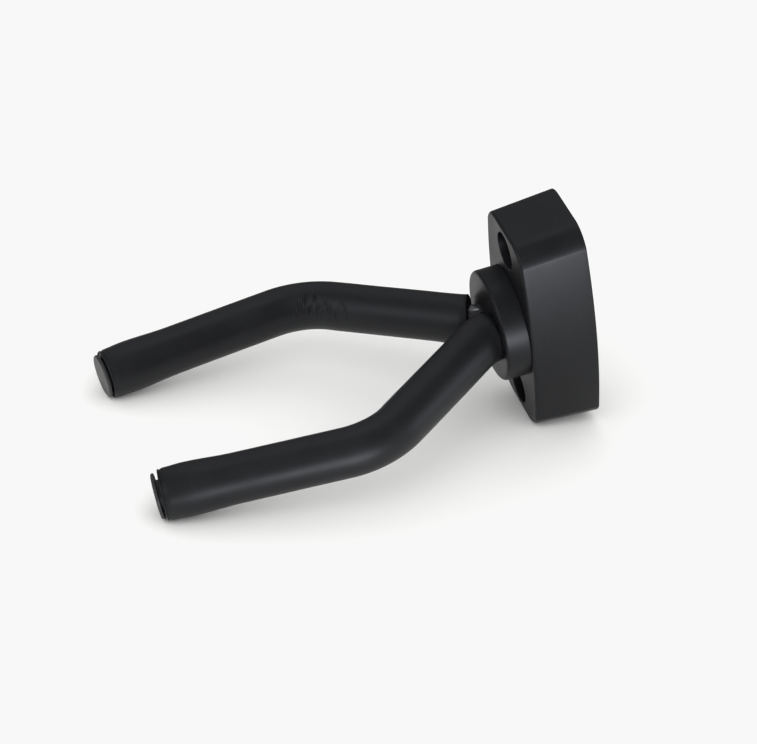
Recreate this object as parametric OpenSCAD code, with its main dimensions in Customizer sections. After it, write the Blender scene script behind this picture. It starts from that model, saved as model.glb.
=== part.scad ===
// Wall guitar hanger: a moulded block that screws to the wall, and a swivelling yoke of two
// bent steel rods in foam sleeves that carries the instrument by its headstock.
// Origin: centre of the block's back face, on the wall. +Z is up and -Y points away from the wall.

/* [Wall block] */
// Width of the block across its middle, at the wall
block_w = 40.5; // [38:0.5:46]
// Height of the block at the wall
block_h = 78; // [74:0.5:90]
// Depth of the block out from the wall
block_d = 22.2; // [22:0.1:26]
// How far each long side bulges outwards at its middle
side_bulge = 5; // [1:0.1:6]
// Radius of the block's four corners
corner_r = 10; // [8:0.5:12]
// Width over the corner arcs, which cut the sides off with a soft crease
corner_span = 35.2; // [33:0.1:37]
// How far each long side leans in, from wall to front
side_draft = 0.6; // [0:0.1:1.5]
// How far each end leans in, from wall to front
end_draft = 1.9; // [0:0.1:3]
// Thickness of the block's outer wall
shell_wall = 2.6; // [2:0.1:3]
// Thickness of the block's front plate
front_wall = 3.6; // [3:0.1:4.5]

/* [Wall screws] */
// Distance between the two screw holes
screw_spacing = 57; // [54:0.5:60]
// Diameter of the screw holes
screw_hole_dia = 5; // [4:0.1:6]
// Diameter of the counterbores that take the screw heads
counterbore_dia = 12.7; // [11:0.1:13]
// Depth of the counterbores from the front face
counterbore_depth = 12; // [6:0.5:14]

/* [Swivel] */
// Diameter of the round swivel head
head_dia = 37.4; // [34:0.1:38]
// Thickness of the swivel head
head_t = 8.1; // [7.5:0.1:10]
// Diameter of the steel hub plate inside the head
plate_dia = 30; // [28:0.5:32]
// Thickness of the hub plate
plate_t = 3; // [2.5:0.1:3.5]
// Diameter of the threaded stem
stem_dia = 8; // [8:0.1:8.5]
// Turn of the yoke about its stem at rest
yoke_turn = -6.8; // [-30:0.1:30]

/* [Arms] */
// Diameter of the steel rods
rod_dia = 9.5; // [9:0.1:10]
// Distance between the two rods where they leave the head
root_spacing = 12; // [11.6:0.1:13]
// Centreline radius of the bend at the root
root_bend_r = 14; // [12:0.5:18]
// Angle by which each rod splays out at the root
splay_angle = 40; // [30:1:45]
// Straight length between the root bend and the elbow
splay_run = 46; // [35:1:60]
// Centreline radius of the elbow
elbow_r = 26; // [22:1:35]
// Angle of the elbow, which brings the arm back in
elbow_angle = 47; // [38:1:52]
// Straight length from the elbow to the middle position of a sleeve's end
tip_run = 59; // [45:1:80]

/* [Sleeves and plugs] */
// Outer diameter of the foam sleeves
sleeve_dia = 16; // [15:0.1:18]
// Diameter of the sleeve where the plug stretches it
swell_dia = 17.1; // [16:0.1:18]
// Diameter of the sleeve at its very end
sleeve_end_dia = 16.4; // [15.5:0.1:17.5]
// How far the left sleeve sits out, and the right one in, from the middle position
sleeve_shift = 0.8; // [0:0.1:1]
// Diameter of the end plugs' flanges
plug_flange_dia = 14.6; // [13:0.1:16]
// Thickness of the flanges
plug_flange_t = 1.1; // [0.8:0.1:2]
// Gap between a flange and the end of its sleeve
plug_gap = 0.9; // [0.2:0.1:1.5]

/* [Hidden] */

$fn = 96;
// Overshoot of a cut past the face it opens
cut = 1;
// Radial gap of a turning or sliding fit
fit_gap = 0.05;

// Depths below are distances out from the wall
front_edge = 1;
front_edge_inset = 0.8;
washer_seat = 1;
washer_t = 1.18;
washer_r = 13;
head_back = block_d + 0.2;
head_front = head_back + head_t;
plate_front = head_back + plate_t;
head_edge_r = 1.2;

// Back of the block: a tube around the stem, a cup and a foot around each screw, and ribs between them
hub_tube_r = 10.5;
hub_tube_back = 13;
screw_tube_r = counterbore_dia / 2 + 2.2;
screw_cup_floor = 3;
screw_foot_r = 5;
rib_t = 2;
rib_back = 1.5;

// Stack on the stem, from the hub tube's back face towards the wall
bush_r = 6;
bush_flange_r = 9;
bush_flange_t = 1.5;
bush_back = hub_tube_back - bush_flange_t;
rear_washer_t = 1.5;
rear_washer_front = bush_back - 0.02;
rear_washer_back = rear_washer_front - rear_washer_t;
spring_t = 0.5;
spring_rise = 0.5;
nut_front = rear_washer_back - spring_t - spring_rise - 0.02;
nut_af = 13;
nut_t = 5.4;
collar_t = 2.1;
collar_r = 5.9;
insert_r = 5.2;
insert_t = 1.5;
stem_back = 0.9;
stem_chamfer = 0.8;

// Arms
rod_r = rod_dia / 2;
bend_start = head_front - 1.7;
bead_leg = 1.2;
// Straights run this far into the bends, which are a hair fatter, so an arm is one solid
lap = 0.3;
bend_extra = 0.04;
sleeve_bore_r = rod_r + 0.1;
sleeve_start = 5.2;
rod_stop = 12.5;
plug_seat = 11.8;
plug_bore_r = 5.65;
plug_neck_r = 5;
plug_neck = 1.5;
plug_length = 11;
plug_barbs = 4;
swell_from = 24;
swell_peak = 8.5;
swell_steps = 14;

// Radius of the arc through three points: the two corners and the middle of a long side
side_arc_r = (pow(block_h / 2, 2) + pow(side_bulge, 2)) / (2 * side_bulge);

// ---------- the block ----------

// Outline of the block: two wide arcs cut off square at the ends, with round corners
module block_outline(inset = 0) {
  corner_z = block_h / 2 - corner_r;
  offset(delta = -inset)
    intersection() {
      translate([block_w / 2 - side_arc_r, 0]) circle(r = side_arc_r, $fn = 360);
      translate([side_arc_r - block_w / 2, 0]) circle(r = side_arc_r, $fn = 360);
      union() {
        square([block_w, 2 * corner_z], center = true);
        hull()
          for (x = [-1, 1], z = [-1, 1])
            translate([x * (corner_span / 2 - corner_r), z * corner_z]) circle(r = corner_r, $fn = 96);
      }
    }
}

// Stands a flat outline on the wall and raises it outwards
module out_from(depth) {
  translate([0, -depth, 0]) rotate([90, 0, 0]) children();
}

// A round bar or hole along the Y axis, between two depths
module y_cyl(r, from, to) {
  out_from(from) cylinder(r = r, h = to - from);
}

module block_body() {
  body_d = block_d - front_edge;
  lean = body_d / block_d;
  front_w = block_w - 2 * side_draft * lean;
  front_h = block_h - 2 * end_draft * lean;
  out_from(0)
    linear_extrude(height = body_d, scale = [front_w / block_w, front_h / block_h], slices = 1)
      block_outline();
  out_from(body_d)
    linear_extrude(height = front_edge, slices = 1,
                   scale = [1 - 2 * front_edge_inset / front_w, 1 - 2 * front_edge_inset / front_h])
      scale([front_w / block_w, front_h / block_h]) block_outline();
}

// Space inside the outer wall, behind the front plate
module block_hollow() {
  out_from(-cut)
    linear_extrude(height = block_d - front_wall + cut) block_outline(inset = shell_wall + end_draft);
}

module block_supports() {
  inside = block_d - front_wall + 0.2;
  intersection() {
    union() {
      y_cyl(hub_tube_r, hub_tube_back, inside);
      for (side = [-1, 1])
        translate([0, 0, side * screw_spacing / 2]) {
          y_cyl(screw_tube_r, block_d - counterbore_depth - screw_cup_floor, inside);
          y_cyl(screw_foot_r, 0, inside);
        }
      translate([-block_w / 2, -inside, -rib_t / 2]) cube([block_w, inside - rib_back, rib_t]);
      translate([-rib_t / 2, -inside, -screw_spacing / 2])
        cube([rib_t, inside - rib_back, screw_spacing]);
    }
    out_from(0) linear_extrude(height = block_d) block_outline(inset = shell_wall);
  }
}

module wall_block() {
  nut_space_r = bush_flange_r + 0.8;
  color([0.055, 0.057, 0.062])
    difference() {
      union() {
        difference() {
          block_body();
          block_hollow();
        }
        block_supports();
      }
      y_cyl(nut_space_r, -cut, hub_tube_back);
      y_cyl(bush_r + fit_gap, hub_tube_back - cut, block_d + cut);
      y_cyl(washer_r + 0.1, block_d - washer_seat, block_d + cut);
      for (side = [-1, 1])
        translate([0, 0, side * screw_spacing / 2]) {
          y_cyl(screw_hole_dia / 2, -cut, block_d);
          y_cyl(counterbore_dia / 2, block_d - counterbore_depth, block_d + cut);
        }
    }
}

// ---------- the pivot ----------

// A ring about the stem between two depths
module y_ring(r_out, r_in, from, to) {
  difference() {
    y_cyl(r_out, from, to);
    y_cyl(r_in, from - cut, to + cut);
  }
}

module pivot_bush() {
  bore_r = stem_dia / 2 + fit_gap;
  color([0.86, 0.85, 0.80])
    difference() {
      union() {
        y_cyl(bush_r, bush_back, block_d - washer_seat - 0.1);
        y_cyl(bush_flange_r, bush_back, hub_tube_back);
      }
      y_cyl(bore_r, bush_back - cut, block_d + cut);
    }
}

module thrust_washer() {
  seat = block_d - washer_seat;
  color([0.88, 0.87, 0.82]) y_ring(washer_r, bush_r, seat, seat + washer_t);
}

module rear_washer() {
  color([0.72, 0.73, 0.75])
    y_ring(bush_flange_r, stem_dia / 2 + 0.1, rear_washer_back, rear_washer_front);
}

// A dished disc spring between the rear washer and the nut
module spring_washer() {
  r_in = stem_dia / 2 + 0.3;
  r_out = bush_flange_r - 0.6;
  color([0.62, 0.63, 0.66])
    out_from(nut_front + 0.01)
      rotate_extrude()
        polygon([[r_in, 0], [r_out, spring_rise], [r_out, spring_rise + spring_t], [r_in, spring_t]]);
}

module lock_nut() {
  nut_back = nut_front - nut_t;
  color([0.70, 0.71, 0.74])
    difference() {
      union() {
        y_cyl(nut_af / 2 / cos(30), nut_back, nut_front, $fn = 6);
        y_cyl(collar_r, nut_back - collar_t, nut_back);
      }
      y_cyl(stem_dia / 2 + 0.03, nut_back - collar_t - cut, nut_front + cut);
      y_cyl(insert_r + 0.03, nut_back - collar_t - cut, nut_back - collar_t + insert_t);
    }
}

module nut_insert() {
  collar_back = nut_front - nut_t - collar_t;
  color([0.16, 0.28, 0.62])
    y_ring(insert_r, stem_dia / 2 + 0.02, collar_back, collar_back + insert_t);
}

module pivot_stem() {
  r = stem_dia / 2;
  length = plate_front - stem_back;
  color([0.66, 0.67, 0.70])
    out_from(stem_back)
      rotate_extrude()
        polygon([[0, 0], [r - stem_chamfer, 0], [r, stem_chamfer], [r, length], [0, length]]);
}

module hub_plate() {
  color([0.30, 0.31, 0.33]) y_ring(plate_dia / 2, stem_dia / 2 + 0.02, head_back, plate_front);
}

// ---------- the yoke ----------

// Turns a piece of the yoke about the stem to its rest position
module yoke() {
  rotate([0, yoke_turn, 0]) children();
}

// The right arm's own frame: +Z runs along the rod and +X points away from the middle.
// side is 1 for the right arm and -1 for the left one, which is the same arm turned half round.
module arm(side) {
  yoke() rotate([0, side > 0 ? 0 : 180, 0]) translate([root_spacing / 2, 0, 0]) rotate([90, 0, 0]) children();
}

// A bent length of bar that leaves the origin along +Z and turns towards +X
module bend(r_bend, angle, r) {
  translate([r_bend, 0, 0])
    rotate([90, 0, 180])
      rotate_extrude(angle = angle)
        translate([r_bend, 0]) circle(r = r + bend_extra);
}

// Moves to the far end of such a bend
module past_bend(r_bend, angle) {
  translate([r_bend * (1 - cos(angle)), 0, r_bend * sin(angle)]) rotate([0, angle, 0]) children();
}

// Moves to the place where the splayed straight begins
module to_splay() {
  translate([0, 0, bend_start]) past_bend(root_bend_r, splay_angle) children();
}

// Moves to the place where the straight tip begins, past the elbow
module to_tip() {
  to_splay()
    translate([0, 0, splay_run])
      rotate([0, 0, 180]) past_bend(elbow_r, elbow_angle) children();
}

// Splayed straight and elbow of an arm
module arm_middle(r) {
  to_splay() {
    translate([0, 0, -lap]) cylinder(r = r, h = splay_run + 2 * lap);
    translate([0, 0, splay_run]) rotate([0, 0, 180]) bend(elbow_r, elbow_angle, r);
  }
}

module arm_rod(side) {
  color([0.10, 0.10, 0.11])
    arm(side) {
      translate([0, 0, plate_front]) cylinder(r = rod_r, h = bend_start - plate_front + lap);
      translate([0, 0, bend_start]) bend(root_bend_r, splay_angle, rod_r);
      arm_middle(rod_r);
      to_tip() translate([0, 0, -lap]) cylinder(r = rod_r, h = tip_run - rod_stop + lap);
    }
}

module arm_rod_right() {
  arm_rod(1);
}

module arm_rod_left() {
  arm_rod(-1);
}

module weld_bead(side) {
  inner = rod_r + 0.02;
  color([0.24, 0.24, 0.26])
    arm(side)
      translate([0, 0, plate_front])
        rotate_extrude()
          polygon([[inner, 0], [rod_r + bead_leg, 0], [inner, bead_leg]]);
}

module weld_bead_right() {
  weld_bead(1);
}

module weld_bead_left() {
  weld_bead(-1);
}

// Round head moulded over the hub plate and the roots of the rods
module swivel_head() {
  r = head_dia / 2;
  back_edge = 0.4;
  color([0.06, 0.062, 0.068])
    difference() {
      out_from(head_back)
        rotate_extrude()
          polygon([
            [0, 0], [r - back_edge, 0], [r, back_edge],
            for (a = [0:15:90])
              [r - head_edge_r * (1 - cos(a)), head_t - head_edge_r * (1 - sin(a))],
            [0, head_t]
          ]);
      y_cyl(plate_dia / 2 + fit_gap, head_back - cut, plate_front);
      for (side = [-1, 1])
        arm(side) {
          translate([0, 0, plate_front - cut])
            cylinder(r = rod_r + fit_gap, h = bend_start - plate_front + cut);
          translate([0, 0, bend_start - lap]) bend(root_bend_r, splay_angle, rod_r + fit_gap);
          translate([0, 0, plate_front - 0.01])
            cylinder(r1 = rod_r + bead_leg + 0.1, r2 = rod_r, h = bead_leg + 0.1);
        }
    }
}

// Extra radius of the sleeve at distance back from its end, where the plug stretches it
function swell(back) =
  back > swell_peak
    ? (swell_dia - sleeve_dia) / 2 * (1 + cos(180 * (back - swell_peak) / (swell_from - swell_peak))) / 2
    : (sleeve_end_dia - sleeve_dia) / 2
      + (swell_dia - sleeve_end_dia) / 2 * (1 - cos(180 * back / swell_peak)) / 2;

// Straight end of a sleeve: it swells over the plug and is a little narrower at its mouth
module sleeve_end(length) {
  edge = 0.4;
  rotate_extrude()
    polygon([
      [0, -lap], [sleeve_dia / 2, -lap],
      for (i = [0:swell_steps])
        let (back = swell_from * (1 - i / swell_steps))
          if (back > edge) [sleeve_dia / 2 + swell(back), length - back],
      [sleeve_end_dia / 2, length - edge],
      [sleeve_end_dia / 2 - edge, length],
      [0, length]
    ]);
}

// side also says which way the sleeve has slipped along its rod
module sleeve(side) {
  start = sleeve_start - side * sleeve_shift;
  start_angle = start / root_bend_r * 180 / PI;
  end_run = tip_run - side * sleeve_shift;
  color([0.085, 0.087, 0.092])
    arm(side)
      difference() {
        union() {
          translate([0, 0, bend_start])
            past_bend(root_bend_r, start_angle)
              bend(root_bend_r, splay_angle - start_angle, sleeve_dia / 2);
          arm_middle(sleeve_dia / 2);
          to_tip() sleeve_end(end_run);
        }
        translate([0, 0, bend_start]) bend(root_bend_r, splay_angle, sleeve_bore_r);
        arm_middle(sleeve_bore_r);
        to_tip() {
          translate([0, 0, -lap]) cylinder(r = sleeve_bore_r, h = end_run + lap);
          translate([0, 0, end_run - plug_seat]) cylinder(r = plug_bore_r, h = plug_seat + cut);
        }
      }
}

module sleeve_right() {
  sleeve(1);
}

module sleeve_left() {
  sleeve(-1);
}

// Push-in plug: a thin round flange, a neck and a barbed shank
module end_plug(side) {
  flange_r = plug_flange_dia / 2;
  outer = plug_gap + plug_flange_t;
  edge = 0.35;
  barb_step = (plug_length - plug_neck) / plug_barbs;
  color([0.10, 0.10, 0.105])
    arm(side)
      to_tip()
        translate([0, 0, tip_run - side * sleeve_shift])
          rotate_extrude()
            polygon([
              [0, -plug_length],
              for (i = [0:plug_barbs - 1])
                each [
                  [plug_bore_r - 0.5, i * barb_step - plug_length],
                  [plug_bore_r - 0.05, (i + 1) * barb_step - plug_length - 0.4]
                ],
              [plug_neck_r, -plug_neck], [plug_neck_r, plug_gap],
              [flange_r - edge, plug_gap], [flange_r, plug_gap + edge],
              [flange_r, outer - edge], [flange_r - edge, outer], [0, outer]
            ]);
}

module end_plug_right() {
  end_plug(1);
}

module end_plug_left() {
  end_plug(-1);
}

wall_block();
pivot_bush();
thrust_washer();
rear_washer();
swivel_head();
hub_plate();
pivot_stem();
spring_washer();
lock_nut();
nut_insert();
arm_rod_right();
arm_rod_left();
weld_bead_right();
weld_bead_left();
sleeve_right();
sleeve_left();
end_plug_right();
end_plug_left();
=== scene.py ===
import math
import random

import bmesh
import bpy
from mathutils import Matrix, Vector, noise


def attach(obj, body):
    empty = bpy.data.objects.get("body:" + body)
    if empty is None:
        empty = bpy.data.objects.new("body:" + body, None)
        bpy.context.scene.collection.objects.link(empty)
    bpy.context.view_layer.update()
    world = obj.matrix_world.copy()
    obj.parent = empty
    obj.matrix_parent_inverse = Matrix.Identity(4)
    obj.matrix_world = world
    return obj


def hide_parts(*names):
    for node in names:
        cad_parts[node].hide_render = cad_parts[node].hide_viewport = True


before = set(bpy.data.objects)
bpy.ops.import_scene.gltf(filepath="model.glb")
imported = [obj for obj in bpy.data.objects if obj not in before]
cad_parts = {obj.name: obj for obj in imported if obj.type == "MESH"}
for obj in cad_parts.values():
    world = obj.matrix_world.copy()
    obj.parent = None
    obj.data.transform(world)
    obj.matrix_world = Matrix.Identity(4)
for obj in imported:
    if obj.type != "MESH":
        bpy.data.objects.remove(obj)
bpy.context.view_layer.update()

MM = 0.001

# ---------------------------------------------------------------- dimensions, in mm
# Main sizes repeat the CAD model's own values. Edge roundings, gaps and other fine details are this
# scene's own where the CAD is plainer or leaves them out. Depths are distances out from the wall.
BLOCK_W = 40.5
BLOCK_H = 78.0
BLOCK_D = 22.2
SIDE_BULGE = 5.0
CORNER_R = 10.0
CORNER_SPAN = 35.2
CREASE_BLEND = 0.18
SIDE_STEPS = 24
CORNER_STEPS = 14
END_STEPS = 6
SIDE_DRAFT = 0.6
END_DRAFT = 1.9
SHELL_INSET = 4.5
FRONT_WALL = 3.6
FRONT_FILLET = 1.0
BACK_EDGE = 0.35
DEPTH_STEPS = 8
FILLET_STEPS = 7
POCKET_BACK = -2.0
FOOT_BACK = -3.0

SCREW_Z = 28.5
SCREW_R = 2.5
COUNTERBORE_R = 6.35
COUNTERBORE_D = 12.0
COUNTERBORE_LIP = 0.35
CUP_FLOOR = 3.0
CUP_R = 8.55
FOOT_R = 5.0
RIB_T = 2.0
RIB_BACK = 1.5

HUB_TUBE_R = 10.5
HUB_TUBE_BACK = 13.0
NUT_SPACE_R = 9.8
BUSH_BORE_R = 6.05
SEAT_R = 13.1
SEAT_D = 1.0
SEAT_LIP = 0.3

HEAD_R = 18.7
HEAD_BACK = 22.4
HEAD_T = 8.1
HEAD_EDGE_R = 1.2
HEAD_RIM = 2.0
PLATE_R = 15.0
PLATE_T = 3.0
PLATE_GAP = 0.05
CUT_PAST = 1.0
ROD_R = 4.75
ROD_GAP = 0.16
ROD_HOLE_END = 6.0
ROD_CHAMFER = 0.8
ROOT_OUT = 6.0
BEND_START = 28.8
ROOT_BEND_R = 14.0
SPLAY_ANGLE = math.radians(40)
SPLAY_RUN = 46.0
ELBOW_R = 26.0
ELBOW_ANGLE = math.radians(47)
TIP_RUN = 59.0
ROD_STOP = 12.5
YOKE_TURN = math.radians(-6.8)

# Only this scene has these: the head's back sits a little lower and the arms hang a little.
HEAD_LOW = 0.13
ARM_DROOP = math.radians(0.2)

# Places along an arm's centreline, counted from the start of its root bend.
ROOT_ARC = ROOT_BEND_R * SPLAY_ANGLE
ELBOW_START = ROOT_ARC + SPLAY_RUN
ELBOW_ARC = ELBOW_R * ELBOW_ANGLE
TIP_START = ELBOW_START + ELBOW_ARC

SLEEVE_R = 8.0
SLEEVE_BORE_R = 4.87
SLEEVE_EDGE_R = 0.55
MOUTH_CHAMFER = 0.25
ROOT_CHAMFER = 0.3
SLEEVE_POINTS = 160
SLEEVE_SHIFT = 0.8
SWELL_R = 8.55
MOUTH_R = 8.2
SWELL_FROM = 24.0
SWELL_PEAK = 8.5
PLUG_SEAT = 11.8

# Only this scene has these: sleeves that start nearer the head than in the CAD, and the foam's
# creases, fuller parts and dents.
NEAR_ROOT = 2.2
FAR_ROOT = 5.6
CREASE_FROM = -10.0
CREASE_RUN = 25.0
CREASE_TURN = 0.55
CREASE_COUNT = 22
FINE_MARGIN = 2.0
CREASE_LIP = 0.45
LIP_PLACE = 1.5
LIP_SHARPNESS = 2.2
ROOT_FLARE = 0.4
ROOT_FLARE_RUN = 13.0
FLARE_EVEN = 0.6
SPLAY_EXTRA = 0.18
SPLAY_EXTRA_FROM = -6.0
SPLAY_EXTRA_RUN = 16.0
ELBOW_OVAL = 0.12
WANDER = 0.05
RIPPLE = 0.02
WANDER_ROUND = 0.55
WANDER_ALONG = 0.055
RIPPLE_FINER = 3.1
HEAD_TOUCH = 0.04
SLEEVE_TOUCH = 0.06
TOUCH_FROM = -1.0
TOUCH_TO = 18.0
TOUCH_REACH = 30.0

PLUG_BORE_R = 5.65
FLANGE_R = 7.3
FLANGE_T = 1.1
PLUG_GAP = 0.9
FLANGE_FLAT_R = 3.0
DISH_EDGE = 0.05
DISH_MIDDLE = 0.09
PLUG_NECK_R = 5.0
PLUG_NECK_RUN = 1.3
PLUG_LENGTH = 11.0
PLUG_NOSE_R = 3.6
BARBS = 4
BARBS_STOP = 1.5
BARB_ROOT_R = 5.0
BARB_R = 5.5
BARB_FOOT = 0.3
BARB_TIP = 0.45
LATHE_AXIS_R = 0.02

STEM_R = 4.0
NUT_AF = 13.0
NUT_T = 5.4
NUT_FRONT = 8.96
NUT_FACE_R = 6.2
NUT_CORNER_R = 7.6
NUT_CHAMFER = 0.8
COLLAR_R = 5.9
COLLAR_T = 2.1
STEM_GAP = 0.03
THREAD_CHAMFER = 0.37

# Vertices closer than this are merged after a boolean.
SLIVER = 0.004

# ---------------------------------------------------------------- camera and light, in metres and degrees

LENS_MM = 129.23
VIEW_AZIMUTH = 77.535
VIEW_ELEVATION = 40.265
VIEW_ROLL = -8.45
VIEW_DISTANCE = 0.886
VIEW_TARGET = Vector((0, -0.0690, -0.0055))
AIM = Vector((0, -0.06, 0))
FLOOR_GAP = 0.00005

# Radii of the floor's rings.
FLOOR_NEAR = (0, 0.05, 0.2)
FLOOR_FAR = (0.2, 0.6, 3.0)

WORLD_COLOUR = (1.0, 1.0, 0.98, 1)
PANEL_COLOUR = (0.90, 0.93, 1.03)
WORLD_STRENGTH = 0.94
REFLECTED_SHADE = 0.2
SEEN_SHADE = 0.938
WHITE = 0.938
LIGHT_DISTANCE = 1.3

# ---------------------------------------------------------------- profiles and frames


def rounded(corners, step=math.radians(9)):
    """A polyline through (x, y, radius) corners, each corner with a radius replaced by an arc."""
    points = []
    last = len(corners) - 1
    for i, (x, y, r) in enumerate(corners):
        here = Vector((x, y))
        if r == 0 or i in (0, last):
            points.append(here)
            continue
        a = (Vector(corners[i - 1][:2]) - here).normalized()
        b = (Vector(corners[i + 1][:2]) - here).normalized()
        half = a.angle(b) / 2
        centre = here + (a + b).normalized() * (r / math.sin(half))
        turn = math.pi - 2 * half
        count = max(2, round(turn / step))
        start = (here + a * (r / math.tan(half)) - centre).normalized()
        end = (here + b * (r / math.tan(half)) - centre).normalized()
        sign = 1 if start.x * end.y - start.y * end.x > 0 else -1
        for k in range(count + 1):
            t = sign * turn * k / count
            c, s = math.cos(t), math.sin(t)
            points.append(centre + Vector((start.x * c - start.y * s, start.x * s + start.y * c)) * r)
    return points


def block_quarter(inset):
    """A quarter of the block's outline at the wall, from the right side's middle to the top's middle."""
    whole_r = ((BLOCK_H / 2) ** 2 + SIDE_BULGE**2) / (2 * SIDE_BULGE)
    arc_x = BLOCK_W / 2 - whole_r
    side_r = whole_r - inset
    corner_r = CORNER_R - inset
    corner_x = CORNER_SPAN / 2 - CORNER_R
    corner_z = BLOCK_H / 2 - CORNER_R
    span = math.hypot(corner_x - arc_x, corner_z)
    past = math.acos((side_r**2 + span**2 - corner_r**2) / (2 * side_r * span))
    crease = math.atan2(corner_z, corner_x - arc_x) + past
    crease_x = arc_x + side_r * math.cos(crease)
    crease_z = side_r * math.sin(crease)
    last = crease - CREASE_BLEND / side_r
    first = math.atan2(crease_z - corner_z, crease_x - corner_x) + CREASE_BLEND / corner_r
    quarter = []
    for k in range(SIDE_STEPS + 1):
        t = last * k / SIDE_STEPS
        quarter.append((arc_x + side_r * math.cos(t), side_r * math.sin(t)))
    for k in range(CORNER_STEPS + 1):
        t = first + (math.pi / 2 - first) * k / CORNER_STEPS
        quarter.append((corner_x + corner_r * math.cos(t), corner_z + corner_r * math.sin(t)))
    for k in range(1, END_STEPS + 1):
        quarter.append((corner_x * (1 - k / END_STEPS), corner_z + corner_r))
    return quarter


def block_outline(depth, inset):
    """Outline of the block at a depth out from the wall, as (x, z) points, moved inwards by inset."""
    sx = 1 - 2 * SIDE_DRAFT * depth / BLOCK_D / BLOCK_W
    sz = 1 - 2 * END_DRAFT * depth / BLOCK_D / BLOCK_H
    quarter = block_quarter(inset)
    ring = quarter + [(-x, z) for x, z in reversed(quarter[:-1])]
    ring += [(-x, -z) for x, z in quarter[1:]]
    ring += [(x, -z) for x, z in reversed(quarter[1:-1])]
    return [(x * sx, z * sz) for x, z in ring]


def circle(cx, cz, r, count):
    """Points (x, z) of a circle, in the outline's own turning direction."""
    turns = [2 * math.pi * k / count for k in range(count)]
    return [(cx + r * math.cos(t), cz + r * math.sin(t)) for t in turns]


def yoke_frame(side):
    """Maps an arm's own frame, in mm, to the object's frame, in metres. +Z runs along the rod."""
    half_turn = 0 if side > 0 else math.pi
    turn = Matrix.Rotation(YOKE_TURN + half_turn, 4, "Y")
    root = Matrix.Translation((ROOT_OUT, 0, 0)) @ Matrix.Rotation(math.pi / 2, 4, "X")
    hinge = Matrix.Translation((0, -HEAD_BACK, 0))
    droop = hinge @ Matrix.Rotation(ARM_DROOP, 4, "X") @ hinge.inverted()
    return Matrix.Scale(MM, 4) @ droop @ turn @ root


def arm_station(s):
    """Point, direction and outward side of an arm's centreline, s mm past the start of its root bend."""
    u, v, a = 0.0, BEND_START, 0.0
    if s < 0:
        v += s
    elif s < ROOT_ARC:
        a = s / ROOT_BEND_R
        u = ROOT_BEND_R * (1 - math.cos(a))
        v += ROOT_BEND_R * math.sin(a)
    else:
        u = ROOT_BEND_R * (1 - math.cos(SPLAY_ANGLE))
        v += ROOT_BEND_R * math.sin(SPLAY_ANGLE)
        a = SPLAY_ANGLE
        run = min(s - ROOT_ARC, SPLAY_RUN)
        u += run * math.sin(a)
        v += run * math.cos(a)
        rest = s - ROOT_ARC - run
        if rest > 0:
            b = min(rest, ELBOW_ARC) / ELBOW_R
            u += ELBOW_R * (math.cos(a - b) - math.cos(a))
            v += ELBOW_R * (math.sin(a) - math.sin(a - b))
            a -= b
            tip = max(0.0, rest - ELBOW_ARC)
            u += tip * math.sin(a)
            v += tip * math.cos(a)
    along = Vector((math.sin(a), 0, math.cos(a)))
    outward = Vector((math.cos(a), 0, -math.sin(a)))
    return Vector((u, 0, v)), along, outward


# ---------------------------------------------------------------- mesh helpers


def make_object(name, verts, faces):
    """A mesh object whose faces look outwards."""
    mesh = bpy.data.meshes.new(name)
    mesh.from_pydata([tuple(v) for v in verts], [], faces)
    mesh.validate()
    obj = bpy.data.objects.new(name, mesh)
    bpy.context.scene.collection.objects.link(obj)
    face_outwards(obj)
    return obj


def face_outwards(obj):
    bm = bmesh.new()
    bm.from_mesh(obj.data)
    bmesh.ops.recalc_face_normals(bm, faces=bm.faces)
    if bm.calc_volume(signed=True) < 0:
        bmesh.ops.reverse_faces(bm, faces=bm.faces)
    bm.to_mesh(obj.data)
    bm.free()


def smooth(obj, angle):
    """Smooth shading with crisp edges where the surface turns more than the angle."""
    obj.data.shade_smooth()
    obj.data.set_sharp_from_angle(angle=math.radians(angle))


def weigh_normals(obj):
    """Flat faces stay flat beside small fillets."""
    mod = obj.modifiers.new("weighted_normals", "WEIGHTED_NORMAL")
    mod.keep_sharp = True
    mod.weight = 80


def bridge(rings, closed=False):
    """Quads between equal rings of vertex numbers."""
    faces = []
    pairs = list(zip(rings, rings[1:]))
    if closed:
        pairs.append((rings[-1], rings[0]))
    for a, b in pairs:
        n = len(a)
        for k in range(n):
            j = (k + 1) % n
            faces.append((a[k], a[j], b[j], b[k]))
    return faces


def swept(name, rings, closed=True):
    """A solid whose rings of points follow each other; closed joins the last ring to the first."""
    verts, numbers = [], []
    for ring in rings:
        numbers.append(list(range(len(verts), len(verts) + len(ring))))
        verts += ring
    faces = bridge(numbers, closed)
    if not closed:
        faces.append(tuple(numbers[0]))
        faces.append(tuple(numbers[-1]))
    return make_object(name, verts, faces)


def lathe(name, profile, place, count, closed=True):
    """Turns (radius, height) points, in mm, about the place's own Z axis."""
    rings = []
    for p in profile:
        ring = [place @ Vector((x, z, p[1])) for x, z in circle(0, 0, p[0], count)]
        rings.append(ring)
    return swept(name, rings, closed)


def wall_frame(depth):
    """Frame in mm on the block's middle axis, at a depth out from the wall; +Z points off the wall."""
    outwards = Matrix.Scale(MM, 4) @ Matrix.Rotation(math.pi / 2, 4, "X")
    return outwards @ Matrix.Translation((0, 0, depth))


def prism(name, points, from_depth, to_depth):
    """A straight-sided solid on an (x, z) outline between two depths, in mm."""
    rings = [[Vector((x * MM, -d * MM, z * MM)) for x, z in points] for d in (from_depth, to_depth)]
    return swept(name, rings, closed=False)


def rectangle(x0, z0, x1, z1):
    return [(x0, z0), (x1, z0), (x1, z1), (x0, z1)]


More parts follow.
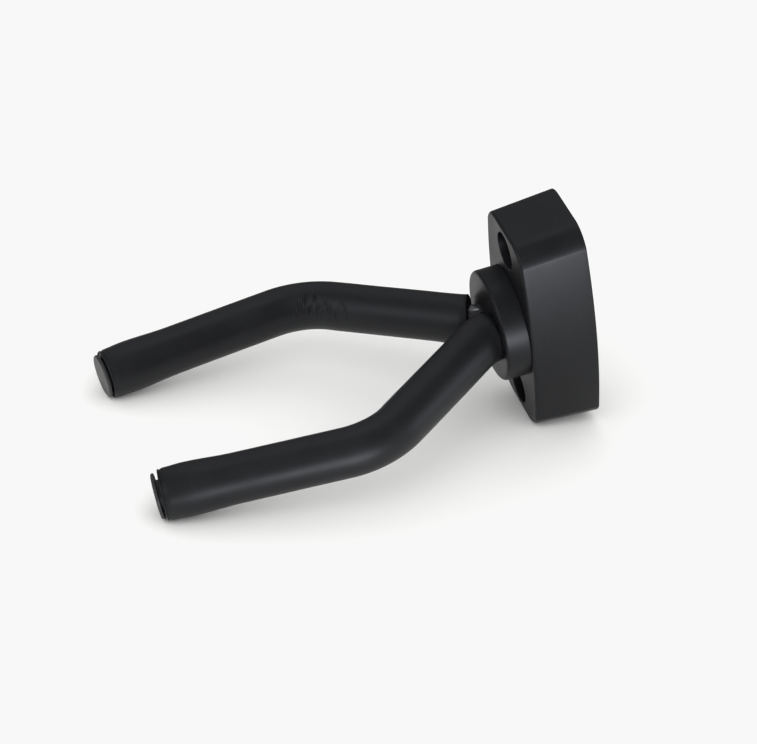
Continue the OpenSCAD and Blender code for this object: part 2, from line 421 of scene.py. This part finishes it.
def cut(obj, tool):
    """Takes the tool's shape out of the object and deletes the tool."""
    mod = obj.modifiers.new("cut", "BOOLEAN")
    mod.operation = "DIFFERENCE"
    mod.solver = "EXACT"
    mod.object = tool
    apply_modifiers(obj)
    bpy.data.objects.remove(tool)
    merge_slivers(obj)


def apply_modifiers(obj):
    bpy.context.view_layer.update()
    graph = bpy.context.evaluated_depsgraph_get()
    mesh = bpy.data.meshes.new_from_object(obj.evaluated_get(graph))
    obj.modifiers.clear()
    old = obj.data
    obj.data = mesh
    bpy.data.meshes.remove(old)
    obj.data.name = obj.name


def merge_slivers(obj):
    """Takes out the faces of no area that a boolean leaves."""
    bm = bmesh.new()
    bm.from_mesh(obj.data)
    bmesh.ops.remove_doubles(bm, verts=bm.verts, dist=SLIVER * MM)
    bmesh.ops.dissolve_degenerate(bm, dist=SLIVER * MM, edges=bm.edges)
    bm.to_mesh(obj.data)
    bm.free()


# ---------------------------------------------------------------- materials


class Nodes:
    """A material's node tree with short ways to add what the finishes below need."""

    def __init__(self, name):
        self.material = bpy.data.materials.new(name)
        self.material.use_nodes = True
        self.tree = self.material.node_tree
        self.shader = self.tree.nodes["Principled BSDF"]
        self.coords = self.tree.nodes.new("ShaderNodeTexCoord").outputs["Object"]

    def set(self, **values):
        for key, value in values.items():
            self.shader.inputs[key.replace("_", " ")].default_value = value

    def link(self, a, b):
        self.tree.links.new(a, b)

    def noise(self, scale, detail, roughness, stretch=(1, 1, 1)):
        """Noise with so many cells to a metre, stretched along an axis where its number is below 1."""
        place = self.tree.nodes.new("ShaderNodeMapping")
        place.inputs["Scale"].default_value = stretch
        self.link(self.coords, place.inputs["Vector"])
        tex = self.tree.nodes.new("ShaderNodeTexNoise")
        tex.inputs["Scale"].default_value = scale
        tex.inputs["Detail"].default_value = detail
        tex.inputs["Roughness"].default_value = roughness
        self.link(place.outputs["Vector"], tex.inputs["Vector"])
        return tex.outputs["Fac"]

    def voronoi(self, scale):
        tex = self.tree.nodes.new("ShaderNodeTexVoronoi")
        tex.inputs["Scale"].default_value = scale
        self.link(self.coords, tex.inputs["Vector"])
        return tex.outputs["Distance"]

    def spread(self, value, low, high, from_low=0.3, from_high=0.7):
        """Maps a pattern's usual range to another range."""
        node = self.tree.nodes.new("ShaderNodeMapRange")
        node.inputs["From Min"].default_value = from_low
        node.inputs["From Max"].default_value = from_high
        node.inputs["To Min"].default_value = low
        node.inputs["To Max"].default_value = high
        self.link(value, node.inputs["Value"])
        return node.outputs["Result"]

    def maths(self, operation, a, b):
        node = self.tree.nodes.new("ShaderNodeMath")
        node.operation = operation
        for socket, value in zip(node.inputs, (a, b)):
            if isinstance(value, (int, float)):
                socket.default_value = value
            else:
                self.link(value, socket)
        return node.outputs["Value"]

    def mix(self, factor, a, b):
        """Blends two colours; a mix node's colour sockets are its inputs 6 and 7 and its output 2."""
        node = self.tree.nodes.new("ShaderNodeMix")
        node.data_type = "RGBA"
        self.link(factor, node.inputs["Factor"])
        for socket, value in ((node.inputs[6], a), (node.inputs[7], b)):
            if isinstance(value, tuple):
                socket.default_value = (*value, 1.0)
            else:
                self.link(value, socket)
        return node.outputs[2]

    def bump(self, height, depth_mm, under=None):
        node = self.tree.nodes.new("ShaderNodeBump")
        node.inputs["Distance"].default_value = depth_mm * MM
        self.link(height, node.inputs["Height"])
        if under:
            self.link(under, node.inputs["Normal"])
        return node.outputs["Normal"]

    def finish(self, colour=None, roughness=None, normal=None):
        if colour:
            self.link(colour, self.shader.inputs["Base Color"])
        if roughness:
            self.link(roughness, self.shader.inputs["Roughness"])
        if normal:
            self.link(normal, self.shader.inputs["Normal"])
        return self.material


def moulded_black():
    """Satin black ABS: fine spark-eroded texture, faint flow clouds and light handling scuffs."""
    n = Nodes("moulded_black")
    n.set(IOR=1.5, Specular_IOR_Level=0.165)
    dark = (0.0066, 0.0069, 0.0083)
    pale = (0.0092, 0.0096, 0.0113)
    rubbed = tuple(1.7 * c for c in pale)
    cloud = n.noise(55, 4, 0.55, (1, 1, 0.6))
    grain = n.noise(5200, 2, 0.6)
    pits = n.noise(1500, 2, 0.5)
    base = n.mix(n.spread(cloud, 0, 1), dark, pale)
    scuffs = n.noise(700, 3, 0.6, (1, 1, 0.35))
    worn = n.mix(n.spread(scuffs, 0, 0.5, 0.60, 0.74), base, rubbed)
    uneven = n.maths("ADD", cloud, n.maths("MULTIPLY", grain, 0.4))
    rough = n.spread(uneven, 0.38, 0.46, 0.55, 0.85)
    fine = n.bump(grain, 0.006)
    normal = n.bump(pits, 0.012, fine)
    return n.finish(worn, rough, normal)


def foam_rubber():
    """Closed-cell foam with a smooth skin: fine cells just under it and a fine grain with paler specks."""
    n = Nodes("foam_rubber")
    n.set(IOR=1.5, Specular_IOR_Level=0.21)
    cloud = n.noise(70, 4, 0.6)
    cells = n.voronoi(3600)
    grain = n.noise(2400, 3, 0.65)
    base = n.mix(n.spread(cloud, 0, 1), (0.0076, 0.0080, 0.0095), (0.0104, 0.0109, 0.0126))
    dusty = n.mix(n.spread(grain, 0, 0.5, 0.55, 0.78), base, (0.020, 0.0204, 0.0217))
    rough = n.spread(cloud, 0.42, 0.49)
    fine = n.bump(cells, 0.010)
    normal = n.bump(grain, 0.020, fine)
    return n.finish(dusty, rough, normal)


def gloss_rod():
    """Gloss black coating on steel, with a slight orange-peel."""
    n = Nodes("black_rod")
    n.set(IOR=1.55, Coat_Weight=0.6, Coat_Roughness=0.06)
    peel = n.noise(700, 2, 0.5)
    cloud = n.noise(180, 3, 0.5)
    base = n.mix(n.spread(cloud, 0, 1), (0.010, 0.010, 0.011), (0.016, 0.016, 0.018))
    return n.finish(base, n.spread(cloud, 0.14, 0.24), n.bump(peel, 0.010))


def plug_plastic():
    """Fine matt moulded plastic of the end plugs."""
    n = Nodes("plug_plastic")
    n.set(IOR=1.5)
    cloud = n.noise(160, 4, 0.55)
    grain = n.noise(4200, 2, 0.6)
    base = n.mix(n.spread(cloud, 0, 1), (0.014, 0.014, 0.0145), (0.021, 0.021, 0.0215))
    return n.finish(base, n.spread(cloud, 0.42, 0.54), n.bump(grain, 0.010))


def metal(name, dark, pale, rough_low, rough_high, turned=False):
    """Bare or plated steel, with a spotty finish and fine lines where it was turned or rolled."""
    n = Nodes(name)
    n.set(Metallic=1.0)
    cloud = n.noise(260, 5, 0.6)
    lines = n.noise(2600, 2, 0.5, (1, 0.05, 1) if turned else (0.08, 1, 1))
    base = n.mix(n.spread(cloud, 0, 1), dark, pale)
    rough = n.spread(n.maths("ADD", n.maths("MULTIPLY", cloud, 0.6), n.maths("MULTIPLY", lines, 0.4)),
                     rough_low, rough_high)
    return n.finish(base, rough, n.bump(lines, 0.006))


def nylon(name, dark, pale):
    """Slightly translucent moulded nylon."""
    n = Nodes(name)
    n.set(IOR=1.53, Subsurface_Weight=0.15, Subsurface_Scale=0.002)
    cloud = n.noise(220, 3, 0.5)
    grain = n.noise(3000, 2, 0.5)
    base = n.mix(n.spread(cloud, 0, 1), dark, pale)
    return n.finish(base, n.spread(cloud, 0.34, 0.46), n.bump(grain, 0.006))


def dress(obj, material, body, replaces):
    """Gives a finished piece its material and body, and hides the CAD nodes that it stands for."""
    obj.data.materials.clear()
    obj.data.materials.append(material)
    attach(obj, body)
    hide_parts(*replaces)


# ---------------------------------------------------------------- the wall block


def round_hole(verts, faces, cx, cz, profile, count):
    """Rings of a stepped hole from (radius, depth) points; returns the first and last ring."""
    rings = []
    for r, d in profile:
        start = len(verts)
        verts += [(x * MM, -d * MM, z * MM) for x, z in circle(cx, cz, r, count)]
        rings.append(list(range(start, start + count)))
    faces += bridge(rings)
    return rings[0], rings[-1]


def fill_flat(bm, loops):
    """Fills the flat region between closed rings of vertices."""
    edges = []
    for loop in loops:
        for k in range(len(loop)):
            pair = (bm.verts[loop[k]], bm.verts[loop[(k + 1) % len(loop)]])
            edges.append(bm.edges.get(pair) or bm.edges.new(pair))
    bmesh.ops.triangle_fill(bm, edges=edges, use_beauty=True)


def block_levels():
    """(depth, inset) of the block's outlines, from the back edge to the end of the front fillet."""
    levels = [(0.0, BACK_EDGE), (BACK_EDGE * 0.3, BACK_EDGE * 0.3), (BACK_EDGE, 0.0)]
    levels += [(BLOCK_D * k / DEPTH_STEPS, 0.0) for k in range(1, DEPTH_STEPS)]
    for k in range(FILLET_STEPS + 1):
        t = math.pi / 2 * k / FILLET_STEPS
        depth = BLOCK_D - FRONT_FILLET * (1 - math.sin(t))
        levels.append((depth, FRONT_FILLET * (1 - math.cos(t))))
    return levels


def counterbore_profile():
    floor_depth = BLOCK_D - COUNTERBORE_D
    return rounded([(COUNTERBORE_R + COUNTERBORE_LIP, BLOCK_D, 0), (COUNTERBORE_R, BLOCK_D, 0.3),
                    (COUNTERBORE_R, floor_depth, 0.5), (SCREW_R, floor_depth, 0.25), (SCREW_R, 0.0, 0.0)])


def hub_profile():
    seat = BLOCK_D - SEAT_D
    return rounded([(SEAT_R + SEAT_LIP, BLOCK_D, 0), (SEAT_R, BLOCK_D, 0.25),
                    (SEAT_R, seat, 0.1), (BUSH_BORE_R, seat, 0.15),
                    (BUSH_BORE_R, HUB_TUBE_BACK, 0.1), (NUT_SPACE_R, HUB_TUBE_BACK, 0.2),
                    (NUT_SPACE_R, 0.0, 0.0)])


def block_skin():
    """Outside, front fillet, counterbores and hub bore, closed by a flat back."""
    verts, faces, rings = [], [], []
    for depth, inset in block_levels():
        start = len(verts)
        ring = block_outline(depth, inset)
        verts += [(x * MM, -depth * MM, z * MM) for x, z in ring]
        rings.append(list(range(start, start + len(ring))))
    faces += bridge(rings)
    front, back = [rings[-1]], [rings[0]]
    for z, profile, count in ((SCREW_Z, counterbore_profile(), 72), (-SCREW_Z, counterbore_profile(), 72),
                              (0, hub_profile(), 96)):
        first, last = round_hole(verts, faces, 0, z, profile, count)
        front.append(first)
        back.append(last)
    obj = make_object("wall_block_shell", verts, faces)
    bm = bmesh.new()
    bm.from_mesh(obj.data)
    bm.verts.ensure_lookup_table()
    fill_flat(bm, front)
    fill_flat(bm, back)
    bmesh.ops.recalc_face_normals(bm, faces=bm.faces)
    bm.to_mesh(obj.data)
    bm.free()
    return obj


def block_pockets():
    """The open space in the block's back, around its tubes, cups, feet and ribs."""
    hollow = prism("pockets", block_outline(0, SHELL_INSET), POCKET_BACK, BLOCK_D - FRONT_WALL)
    past = BLOCK_D
    cut(hollow, prism("tube", circle(0, 0, HUB_TUBE_R, 96), HUB_TUBE_BACK, past))
    for z in (SCREW_Z, -SCREW_Z):
        cup_back = BLOCK_D - COUNTERBORE_D - CUP_FLOOR
        cut(hollow, prism("cup", circle(0, z, CUP_R, 72), cup_back, past))
        cut(hollow, prism("foot", circle(0, z, FOOT_R, 72), FOOT_BACK, past))
    half = RIB_T / 2
    cut(hollow, prism("rib", rectangle(-BLOCK_W, -half, BLOCK_W, half), RIB_BACK, past))
    cut(hollow, prism("rib", rectangle(-half, -SCREW_Z, half, SCREW_Z), RIB_BACK, past))
    return hollow


def wall_block(material):
    obj = block_skin()
    cut(obj, block_pockets())
    smooth(obj, 30)
    weigh_normals(obj)
    dress(obj, material, "base", ["wall_block"])


# ---------------------------------------------------------------- the swivel


def arm_ring(to_frame, s, radius, count, shape=None):
    """Ring of points about an arm's centreline; shape(angle) adds to the radius."""
    point, along, outward = arm_station(s)
    up = along.cross(outward)
    ring = []
    for k in range(count):
        t = 2 * math.pi * k / count
        r = radius + (shape(t) if shape else 0.0)
        ring.append(to_frame @ (point + (outward * math.cos(t) + up * math.sin(t)) * r))
    return ring


def spaced(start, end, step):
    """Evenly spaced places from start to end, no further apart than step."""
    count = max(1, math.ceil((end - start) / step))
    return [start + (end - start) * k / count for k in range(count + 1)]


def stations(*spans):
    """Places along an arm, from spans of (start, end, step) that follow each other."""
    places = spaced(*spans[0])
    for span in spans[1:]:
        places += spaced(*span)[1:]
    return places


def rod_cutter(side):
    """The rod's hole in the head, from inside the hub plate's recess to well past the head's face."""
    to_frame = yoke_frame(side)
    places = spaced(HEAD_BACK + PLATE_T - CUT_PAST - BEND_START, ROD_HOLE_END, 0.6)
    rings = [arm_ring(to_frame, s, ROD_R + ROD_GAP, 64) for s in places]
    return swept("rod_cutter", rings, closed=False)


def swivel_head(material):
    """Round moulded head with a filleted rim, bored for the two rods and recessed for the hub plate."""
    profile = [(HEAD_R - HEAD_RIM, -HEAD_LOW, 0), (HEAD_R, -HEAD_LOW, 0.12), (HEAD_R, HEAD_T, HEAD_EDGE_R),
               (HEAD_R - HEAD_RIM, HEAD_T, 0)]
    place = wall_frame(HEAD_BACK)
    obj = lathe("swivel_head_body", rounded(profile, math.radians(7)), place, 192, closed=False)
    recess_r = PLATE_R + PLATE_GAP
    cut(obj, lathe("recess", [(recess_r, -CUT_PAST), (recess_r, PLATE_T)], place, 128, closed=False))
    for side in (1, -1):
        cut(obj, rod_cutter(side))
    smooth(obj, 30)
    weigh_normals(obj)
    dress(obj, material, "yoke", ["swivel_head"])


def arm_rod(side, material):
    name = "right" if side > 0 else "left"
    to_frame = yoke_frame(side)
    start = HEAD_BACK + PLATE_T - BEND_START
    end = TIP_START + TIP_RUN - ROD_STOP
    places = stations((start, ROOT_ARC, 0.7), (ROOT_ARC, ELBOW_START, 8), (ELBOW_START, TIP_START, 1.4),
                      (TIP_START, end - ROD_CHAMFER, 9))
    rings = [arm_ring(to_frame, s, ROD_R, 64) for s in places]
    rings.append(arm_ring(to_frame, end, ROD_R - ROD_CHAMFER, 64))
    obj = swept("rod_" + name, rings, closed=False)
    smooth(obj, 30)
    dress(obj, material, "yoke", ["arm_rod_" + name])


# ---------------------------------------------------------------- sleeves and plugs


def ease(x):
    """Rises smoothly from 0 to 1."""
    x = min(1.0, max(0.0, x))
    return x * x * (3 - 2 * x)


def sleeve_radius(back):
    """Outer radius at a distance back from the sleeve's end: it swells over the plug."""
    if back > SWELL_PEAK:
        return SLEEVE_R + (SWELL_R - SLEEVE_R) * (1 - ease((back - SWELL_PEAK) / (SWELL_FROM - SWELL_PEAK)))
    return MOUTH_R + (SWELL_R - MOUTH_R) * ease(back / SWELL_PEAK)


def crease_set(seed, count):
    """Creases pinched into the inside of the elbow.

    Each has a place along the arm, an angle round it, half its length as an angle, a depth, a width
    and a lean.
    """
    rng = random.Random(seed)
    creases = []
    for k in range(count):
        s = ELBOW_START + CREASE_FROM + CREASE_RUN * (k + rng.uniform(0.2, 0.8)) / count
        mid = math.pi + CREASE_TURN + rng.uniform(-0.40, 0.40)
        half = rng.uniform(0.22, 0.52)
        depth = rng.uniform(0.09, 0.25)
        width = rng.uniform(0.28, 0.5)
        lean = rng.uniform(-1.1, 1.1)
        creases.append((s, mid, half, depth, width, lean))
    return creases


def crease_depth(creases, s, t):
    """How far the skin is pinched in at a place along the arm and an angle round it."""
    total = 0.0
    for place, mid, half, depth, width, lean in creases:
        across = t - mid
        if abs(across) > half:
            continue
        along = s - place - lean * across
        if abs(along) > 3 * width:
            continue
        fade = math.cos(math.pi / 2 * across / half) ** 2
        x = along / width
        lip = CREASE_LIP * math.exp(-((abs(x) - LIP_PLACE) ** 2) * LIP_SHARPNESS)
        total += depth * fade * (math.exp(-x * x) - lip)
    return total


def sleeve_skin(start, end, creases, seed):
    """Function of place and angle that gives the sleeve's outer radius."""
    shift = Vector((13.7 * seed, 5.1, 2.3))

    def radius(s, t):
        bend = 0.0
        if ELBOW_START < s < TIP_START:
            bend = math.sin(math.pi * (s - ELBOW_START) / ELBOW_ARC)
        sample = Vector((math.cos(t) * WANDER_ROUND, math.sin(t) * WANDER_ROUND, s * WANDER_ALONG)) + shift
        wander = WANDER * noise.noise(sample) + RIPPLE * noise.noise(sample * RIPPLE_FINER)
        oval = ELBOW_OVAL * bend * math.cos(2 * t)
        fuller = SPLAY_EXTRA * (1 - ease((s - ELBOW_START - SPLAY_EXTRA_FROM) / SPLAY_EXTRA_RUN))
        flare = ROOT_FLARE * (1 - ease((s - start) / ROOT_FLARE_RUN))
        flare *= FLARE_EVEN + (1 - FLARE_EVEN) * math.sin(t)
        return sleeve_radius(end - s) + wander + fuller + flare - oval - crease_depth(creases, s, t)

    return radius


def sleeve_end(side):
    """Where a sleeve ends: the right one stops a little sooner than the left one."""
    return TIP_START + TIP_RUN - side * SLEEVE_SHIFT


def sleeve_stations(start, end):
    """Places of the sleeve's rings between its two rounded edges, close together at the creases."""
    fine_from = ELBOW_START + CREASE_FROM - FINE_MARGIN
    fine_to = fine_from + CREASE_RUN + 2 * FINE_MARGIN
    return stations((start + SLEEVE_EDGE_R, ROOT_ARC, 0.9), (ROOT_ARC, fine_from, 2.0),
                    (fine_from, fine_to, 0.16), (fine_to, TIP_START, 0.8),
                    (TIP_START, end - SLEEVE_EDGE_R, 1.2))


def press_flat(rings):
    """The head's face flattens the foam that touches it."""
    face = -(HEAD_BACK + HEAD_T + HEAD_TOUCH) * MM
    for ring in rings:
        for p in ring:
            p.y = min(p.y, face)


def press_aside(rings):
    """The right sleeve's root dents the left sleeve where the two touch."""
    to_frame = yoke_frame(1)
    spine = [to_frame @ arm_station(s)[0] for s in spaced(TOUCH_FROM, TOUCH_TO, 0.5)]
    clear = (SLEEVE_R + SPLAY_EXTRA + ROOT_FLARE + SLEEVE_TOUCH) * MM
    reach = spine[0].y - TOUCH_REACH * MM
    for ring in rings:
        for p in ring:
            if p.y < reach:
                continue
            near = min(spine, key=lambda q: (q - p).length_squared)
            gap = p - near
            if gap.length < clear:
                p += gap.normalized() * (clear - gap.length)


def sleeve_rings(to_frame, start, end, skin):
    """Rings of the whole sleeve: round its outside from root to end, then back along its bore."""
    rings = []

    def outer(s, inset):
        rings.append(arm_ring(to_frame, s, 0.0, SLEEVE_POINTS, lambda t: skin(s, t) - inset))

    def inner(s, r):
        rings.append(arm_ring(to_frame, s, r, SLEEVE_POINTS))

    turns = [math.pi / 2 * k / 6 for k in range(7)]
    for a in turns:
        outer(start + SLEEVE_EDGE_R * (1 - math.sin(a)), SLEEVE_EDGE_R * (1 - math.cos(a)))
    for s in sleeve_stations(start, end)[1:-1]:
        outer(s, 0.0)
    for a in reversed(turns):
        outer(end - SLEEVE_EDGE_R * (1 - math.sin(a)), SLEEVE_EDGE_R * (1 - math.cos(a)))
    inner(end, PLUG_BORE_R + MOUTH_CHAMFER)
    inner(end - MOUTH_CHAMFER, PLUG_BORE_R)
    inner(end - PLUG_SEAT, PLUG_BORE_R)
    for s in reversed(spaced(start + ROOT_CHAMFER, end - PLUG_SEAT, 2.5)):
        inner(s, SLEEVE_BORE_R)
    inner(start, SLEEVE_BORE_R + ROOT_CHAMFER)
    return rings


def sleeve(side, material):
    name = "right" if side > 0 else "left"
    start = NEAR_ROOT if side > 0 else FAR_ROOT
    end = sleeve_end(side)
    seed = 3 if side > 0 else 7
    skin = sleeve_skin(start, end, crease_set(seed, CREASE_COUNT), seed)
    rings = sleeve_rings(yoke_frame(side), start, end, skin)
    press_flat(rings)
    if side < 0:
        press_aside(rings)
    obj = swept("foam_sleeve_" + name, rings)
    smooth(obj, 40)
    dress(obj, material, "yoke", ["sleeve_" + name])


def plug_profile():
    """(radius, height) points of a plug: barbed shank, neck, and thin flange with a shallow dish."""
    outer = PLUG_GAP + FLANGE_T
    barb = (PLUG_LENGTH - BARBS_STOP) / BARBS
    corners = [(LATHE_AXIS_R, -PLUG_LENGTH, 0), (PLUG_NOSE_R, -PLUG_LENGTH, 0.3)]
    for k in range(BARBS):
        corners.append((BARB_ROOT_R, k * barb - PLUG_LENGTH + BARB_FOOT, 0.1))
        corners.append((BARB_R, (k + 1) * barb - PLUG_LENGTH - BARB_TIP, 0.12))
    corners += [(PLUG_NECK_R, -PLUG_NECK_RUN, 0.1), (PLUG_NECK_R, PLUG_GAP, 0.25),
                (FLANGE_R, PLUG_GAP, 0.3), (FLANGE_R, outer, 0.55),
                (FLANGE_FLAT_R, outer - DISH_EDGE, 0), (LATHE_AXIS_R, outer - DISH_MIDDLE, 0)]
    return rounded(corners, math.radians(12))


def end_plug(side, material, tilt_deg, lift):
    """A plug in a sleeve's end, tilted, and moved out by lift mm."""
    name = "right" if side > 0 else "left"
    point, along, outward = arm_station(sleeve_end(side))
    up = along.cross(outward)
    axes = Matrix((outward, up, along)).transposed().to_4x4()
    place = yoke_frame(side) @ Matrix.Translation(point) @ axes
    place = place @ Matrix.Rotation(math.radians(tilt_deg), 4, "X") @ Matrix.Translation((0, 0, lift))
    obj = lathe("plug_" + name, plug_profile(), place, 112)
    smooth(obj, 35)
    weigh_normals(obj)
    dress(obj, material, "yoke", ["end_plug_" + name])


# ---------------------------------------------------------------- fixings


def nut_profile():
    """(radius, height) points of the lock nut: round collar, chamfered hexagon and the bore's mouth."""
    height = NUT_T + COLLAR_T
    bore_r = STEM_R + STEM_GAP
    return rounded([(bore_r, 0.0, 0), (COLLAR_R, 0.0, 0.5), (COLLAR_R, COLLAR_T, 0.2),
                    (NUT_FACE_R, COLLAR_T, 0), (NUT_CORNER_R, COLLAR_T + NUT_CHAMFER, 0),
                    (NUT_CORNER_R, height - NUT_CHAMFER, 0),
                    (NUT_FACE_R, height, 0), (bore_r + THREAD_CHAMFER, height, 0),
                    (bore_r, height - THREAD_CHAMFER, 0)])


def lock_nut(material):
    """Turns the nut's profile and holds it inside the hexagon's flats."""
    place = wall_frame(NUT_FRONT - NUT_T - COLLAR_T)
    count = 144
    rings = []
    for radius, height in nut_profile():
        ring = []
        for k in range(count):
            t = 2 * math.pi * k / count
            flat = NUT_AF / 2 / math.cos((t + math.pi / 6) % (math.pi / 3) - math.pi / 6)
            r = min(radius, flat)
            ring.append(place @ Vector((r * math.cos(t), r * math.sin(t), height)))
        rings.append(ring)
    obj = swept("lock_nut_body", rings)
    smooth(obj, 25)
    weigh_normals(obj)
    dress(obj, material, "yoke", ["lock_nut"])


# ---------------------------------------------------------------- floor, light and camera


def resting_plane():
    """The plane that the block and both sleeves touch from above: a point and the normal."""
    clouds = []
    for node in ("sleeve_right", "sleeve_left", "wall_block"):
        clouds.append([v.co.copy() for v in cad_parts[node].data.vertices])
    normal = Vector((0, 0, 1))
    for _ in range(12):
        low = [min(cloud, key=lambda p: p.dot(normal)) for cloud in clouds]
        found = (low[1] - low[0]).cross(low[2] - low[0]).normalized()
        normal = found if found.z > 0 else -found
    return low[0], normal


def floor_piece(name, place, radii, material):
    """A flat ring of the floor, or a disc where the first radius is 0."""
    count = 96
    verts, numbers, faces = [], [], []
    for r in radii:
        if r == 0:
            verts.append(place @ Vector((0, 0, 0)))
            continue
        numbers.append(list(range(len(verts), len(verts) + count)))
        verts += [place @ Vector((x, z, 0)) for x, z in circle(0, 0, r, count)]
    if radii[0] == 0:
        faces += [(0, numbers[0][k], numbers[0][(k + 1) % count]) for k in range(count)]
    faces += bridge(numbers)
    mesh = bpy.data.meshes.new(name)
    mesh.from_pydata([tuple(v) for v in verts], [], faces)
    obj = bpy.data.objects.new(name, mesh)
    bpy.context.scene.collection.objects.link(obj)
    mesh.materials.append(material)
    return obj


def floor(point, normal):
    """A small disc under the object and, around it, a wide ring that gloss doesn't mirror."""
    finish = Nodes("pale_floor")
    finish.set(Base_Color=(0.93, 0.93, 0.93, 1), IOR=1.3)
    grain = finish.noise(900, 3, 0.6)
    material = finish.finish(roughness=finish.spread(grain, 0.62, 0.72))
    turn = normal.to_track_quat("Z", "Y").to_matrix().to_4x4()
    place = Matrix.Translation(AIM + normal * ((point - AIM).dot(normal) - FLOOR_GAP)) @ turn
    floor_piece("floor", place, FLOOR_NEAR, material)
    far = floor_piece("floor_far", place, FLOOR_FAR, material)
    far.visible_glossy = False
    far.visible_shadow = False


def soft_light(name, azimuth, elevation, width, height, brightness, glossy=True, diffuse=True):
    """A lit panel that looks at the object from a compass direction, in the object's frame."""
    data = bpy.data.lights.new(name, "AREA")
    data.shape = "RECTANGLE"
    data.size = width
    data.size_y = height
    data.energy = brightness * width * height * math.pi
    if not diffuse:
        data.color = PANEL_COLOUR
    obj = bpy.data.objects.new(name, data)
    bpy.context.scene.collection.objects.link(obj)
    back = direction(azimuth, elevation)
    obj.location = AIM + back * LIGHT_DISTANCE
    obj.rotation_euler = (-back).to_track_quat("-Z", "Y").to_euler()
    obj.visible_camera = False
    obj.visible_glossy = glossy
    obj.visible_diffuse = diffuse


def direction(azimuth, elevation):
    """Unit vector towards a compass direction: azimuth 0 is the front, 90 the right."""
    a, e = math.radians(azimuth), math.radians(elevation)
    return Vector((math.sin(a) * math.cos(e), -math.cos(a) * math.cos(e), math.sin(e)))


def surroundings():
    """A pale room that looks darker in gloss, and as white as the floor to the camera."""
    world = bpy.data.worlds.new("studio")
    world.use_nodes = True
    bpy.context.scene.world = world
    tree = world.node_tree
    soft = tree.nodes["Background"]
    soft.inputs["Color"].default_value = WORLD_COLOUR
    soft.inputs["Strength"].default_value = WORLD_STRENGTH
    path = tree.nodes.new("ShaderNodeLightPath")
    result = soft.outputs["Background"]
    for ray, shade in (("Is Glossy Ray", REFLECTED_SHADE), ("Is Camera Ray", SEEN_SHADE)):
        other = tree.nodes.new("ShaderNodeBackground")
        other.inputs["Color"].default_value = (shade, shade, shade, 1)
        mix = tree.nodes.new("ShaderNodeMixShader")
        tree.links.new(path.outputs[ray], mix.inputs["Fac"])
        tree.links.new(result, mix.inputs[1])
        tree.links.new(other.outputs["Background"], mix.inputs[2])
        result = mix.outputs["Shader"]
    tree.links.new(result, tree.nodes["World Output"].inputs["Surface"])


def camera():
    data = bpy.data.cameras.new("camera")
    data.sensor_width = 36
    data.lens = LENS_MM
    data.clip_start = 0.05
    data.clip_end = 50
    obj = bpy.data.objects.new("camera", data)
    bpy.context.scene.collection.objects.link(obj)
    back = direction(VIEW_AZIMUTH, VIEW_ELEVATION)
    roll = Matrix.Rotation(math.radians(VIEW_ROLL), 3, "Z").to_quaternion()
    obj.location = VIEW_TARGET + back * VIEW_DISTANCE
    obj.rotation_mode = "QUATERNION"
    obj.rotation_quaternion = (-back).to_track_quat("-Z", "Y") @ roll
    bpy.context.scene.camera = obj


def exposure():
    """Plain display colours, with whites that stop at the brightness of the photo's background."""
    settings = bpy.context.scene.view_settings
    settings.view_transform = "Standard"
    settings.use_curve_mapping = True
    curves = settings.curve_mapping
    curve = curves.curves[3]
    curve.points[1].location = (1.0, WHITE)
    curve.points.new(WHITE, WHITE)
    for spot in curve.points:
        spot.handle_type = "VECTOR"
    curves.extend = "HORIZONTAL"
    curves.update()


# ---------------------------------------------------------------- build

black = moulded_black()
foam = foam_rubber()
gloss = gloss_rod()
plug = plug_plastic()
mill = metal("raw_steel", (0.16, 0.16, 0.17), (0.30, 0.30, 0.31), 0.42, 0.58)
zinc = metal("zinc_steel", (0.50, 0.51, 0.54), (0.70, 0.71, 0.73), 0.22, 0.36, turned=True)
white_nylon = nylon("nylon", (0.70, 0.69, 0.63), (0.80, 0.79, 0.74))
blue_nylon = nylon("nut_nylon", (0.06, 0.12, 0.36), (0.09, 0.16, 0.44))

wall_block(black)
swivel_head(black)
for arm_side in (1, -1):
    arm_rod(arm_side, gloss)
    sleeve(arm_side, foam)
end_plug(1, plug, tilt_deg=3.0, lift=-0.1)
end_plug(-1, plug, tilt_deg=0.0, lift=-0.3)
lock_nut(zinc)

for node, material in (
    ("pivot_bush", white_nylon), ("thrust_washer", white_nylon), ("nut_insert", blue_nylon),
    ("rear_washer", zinc), ("pivot_stem", zinc), ("spring_washer", zinc),
    ("hub_plate", mill), ("weld_bead_right", mill), ("weld_bead_left", mill),
):
    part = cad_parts[node]
    part.data.materials.clear()
    part.data.materials.append(material)

rest_point, rest_normal = resting_plane()
floor(rest_point, rest_normal)
surroundings()
# Azimuth and elevation, then width and height in metres, then brightness.
soft_light("key", 60, 60, 0.9, 0.9, 2.0, glossy=False)
soft_light("fill", 110, 45, 0.9, 0.9, 0.86, glossy=False)
soft_light("window", 91, -1, 0.7, 0.38, 36, diffuse=False)
soft_light("side_panel", 168, 0, 0.8, 0.6, 2.8, diffuse=False)
soft_light("left_panel", 18, 36, 0.7, 0.7, 3.2, diffuse=False)
soft_light("rear_panel", 255, 42, 1.2, 0.9, 0.45, diffuse=False)
soft_light("top_lamp", 246, 66, 0.3, 0.3, 4, diffuse=False)
camera()
exposure()
